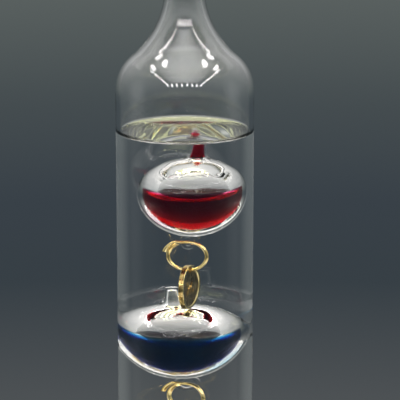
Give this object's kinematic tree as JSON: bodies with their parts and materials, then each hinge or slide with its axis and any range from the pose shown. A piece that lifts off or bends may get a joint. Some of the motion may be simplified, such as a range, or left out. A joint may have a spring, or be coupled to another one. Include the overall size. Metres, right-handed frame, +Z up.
{
  "type": "galileo thermometer",
  "caption": "Sealed glass column of clear oil with a bell shoulder and drawn neck, in which half-filled coloured glass balls with gold rings and tags rise and sink with temperature.",
  "frame": {"origin": "centre of the foot's flat resting face", "axes": "+Z up the column to the sealed tip; -Y to the front, +X to the right seen from the front"},
  "size_m": [0.042, 0.042, 0.33],
  "materials": {
    "clear_glass": "clear polished borosilicate glass, flame-worked at the shoulder, the neck and the stubs",
    "clear_oil": "clear thin oil with a faint yellow-green cast at its level",
    "red_dye": "transparent red dyed liquid, dark where it is deep",
    "blue_dye": "transparent blue dyed liquid, dark where it is deep",
    "yellow_dye": "transparent yellow dyed liquid, dark where it is deep",
    "green_dye": "transparent green dyed liquid, dark where it is deep",
    "purple_dye": "transparent purple dyed liquid, dark where it is deep",
    "gold_plate": "bright gold-plated brass, brushed on the faces of the tags"
  },
  "bodies": {
    "column": {"glass_tube": "clear_glass", "tube_foot": "clear_glass", "clear_oil": "clear_oil"},
    "red_float": {"red_envelope": "clear_glass", "red_seal": "clear_glass", "red_dye": "red_dye"},
    "red_ring": {"red_ring": "gold_plate"},
    "red_tag": {"red_tag": "gold_plate"},
    "blue_float": {"blue_envelope": "clear_glass", "blue_seal": "clear_glass", "blue_dye": "blue_dye"},
    "blue_ring": {"blue_ring": "gold_plate"},
    "blue_tag": {"blue_tag": "gold_plate"},
    "yellow_float": {"yellow_envelope": "clear_glass", "yellow_seal": "clear_glass", "yellow_dye": "yellow_dye"},
    "yellow_ring": {"yellow_ring": "gold_plate"},
    "yellow_tag": {"yellow_tag": "gold_plate"},
    "green_float": {"green_envelope": "clear_glass", "green_seal": "clear_glass", "green_dye": "green_dye"},
    "green_ring": {"green_ring": "gold_plate"},
    "green_tag": {"green_tag": "gold_plate"},
    "purple_float": {"purple_envelope": "clear_glass", "purple_seal": "clear_glass", "purple_dye": "purple_dye"},
    "purple_ring": {"purple_ring": "gold_plate"},
    "purple_tag": {"purple_tag": "gold_plate"}
  },
  "joints": [
    {"name": "red_rise", "type": "slide", "parent": "column", "child": "red_float", "axis": [0, 0, 1], "range_m": [-0.0235, 0], "stiffness_N_per_m": 0.5, "springref_m": 0.16},
    {"name": "red_ring_swing", "type": "hinge", "parent": "red_float", "child": "red_ring", "pos_m": [0.00062, -0.0019, 0.24114], "axis": [0.9613, -0.2756, 0], "range_deg": [-30, 15]},
    {"name": "red_tag_swing", "type": "hinge", "parent": "red_ring", "child": "red_tag", "pos_m": [0.00062, -0.0019, 0.23234], "axis": [0.9703, -0.2419, 0], "range_deg": [-25, 20]},
    {"name": "blue_rise", "type": "slide", "parent": "column", "child": "blue_float", "axis": [0, 0, 1], "range_m": [-0.0235, 0], "stiffness_N_per_m": 0.5, "springref_m": 0.16},
    {"name": "blue_ring_swing", "type": "hinge", "parent": "blue_float", "child": "blue_ring", "pos_m": [0.00035, 0.0048, 0.19426], "axis": [0.7431, -0.6691, 0], "range_deg": [-8, 24]},
    {"name": "blue_tag_swing", "type": "hinge", "parent": "blue_ring", "child": "blue_tag", "pos_m": [0.00035, 0.0048, 0.18546], "axis": [0.6428, -0.766, 0], "range_deg": [-10, 20]},
    {"name": "yellow_rise", "type": "slide", "parent": "column", "child": "yellow_float", "axis": [0, 0, 1], "range_m": [-0.0235, 0], "stiffness_N_per_m": 0.5, "springref_m": 0.16, "deforming": ["clear_oil"]},
    {"name": "yellow_ring_swing", "type": "hinge", "parent": "yellow_float", "child": "yellow_ring", "pos_m": [0.00046, -0.00429, 0.14733], "axis": [0.9945, 0.1045, 0], "range_deg": [-28, 12]},
    {"name": "yellow_tag_swing", "type": "hinge", "parent": "yellow_ring", "child": "yellow_tag", "pos_m": [0.00046, -0.00429, 0.13853], "axis": [0.9903, -0.1392, 0], "range_deg": [-15, 20]},
    {"name": "green_rise", "type": "slide", "parent": "column", "child": "green_float", "axis": [0, 0, 1], "range_m": [0, 0.0235]},
    {"name": "green_ring_swing", "type": "hinge", "parent": "green_float", "child": "green_ring", "pos_m": [-0.00054, 0.00469, 0.07573], "axis": [0.9945, -0.1045, 0], "range_deg": [0, 24]},
    {"name": "green_tag_swing", "type": "hinge", "parent": "green_ring", "child": "green_tag", "pos_m": [-0.00054, 0.00469, 0.06693], "axis": [0.9781, 0.2079, 0], "range_deg": [-6, 20]},
    {"name": "purple_rise", "type": "slide", "parent": "column", "child": "purple_float", "axis": [0, 0, 1], "range_m": [0, 0.0235]},
    {"name": "purple_ring_swing", "type": "hinge", "parent": "purple_float", "child": "purple_ring", "pos_m": [0.00038, -0.00427, 0.02882], "axis": [0.9976, 0.0698, 0], "range_deg": [-28, 28]},
    {"name": "purple_tag_swing", "type": "hinge", "parent": "purple_ring", "child": "purple_tag", "pos_m": [0.00038, -0.00427, 0.02002], "axis": [0.9848, -0.1736, 0], "range_deg": [-15, 25]}
  ],
  "couplings": [
    {"joint": "red_rise", "follows": "yellow_rise", "ratio": 1},
    {"joint": "blue_rise", "follows": "yellow_rise", "ratio": 1},
    {"joint": "purple_rise", "follows": "green_rise", "ratio": 1}
  ]
}
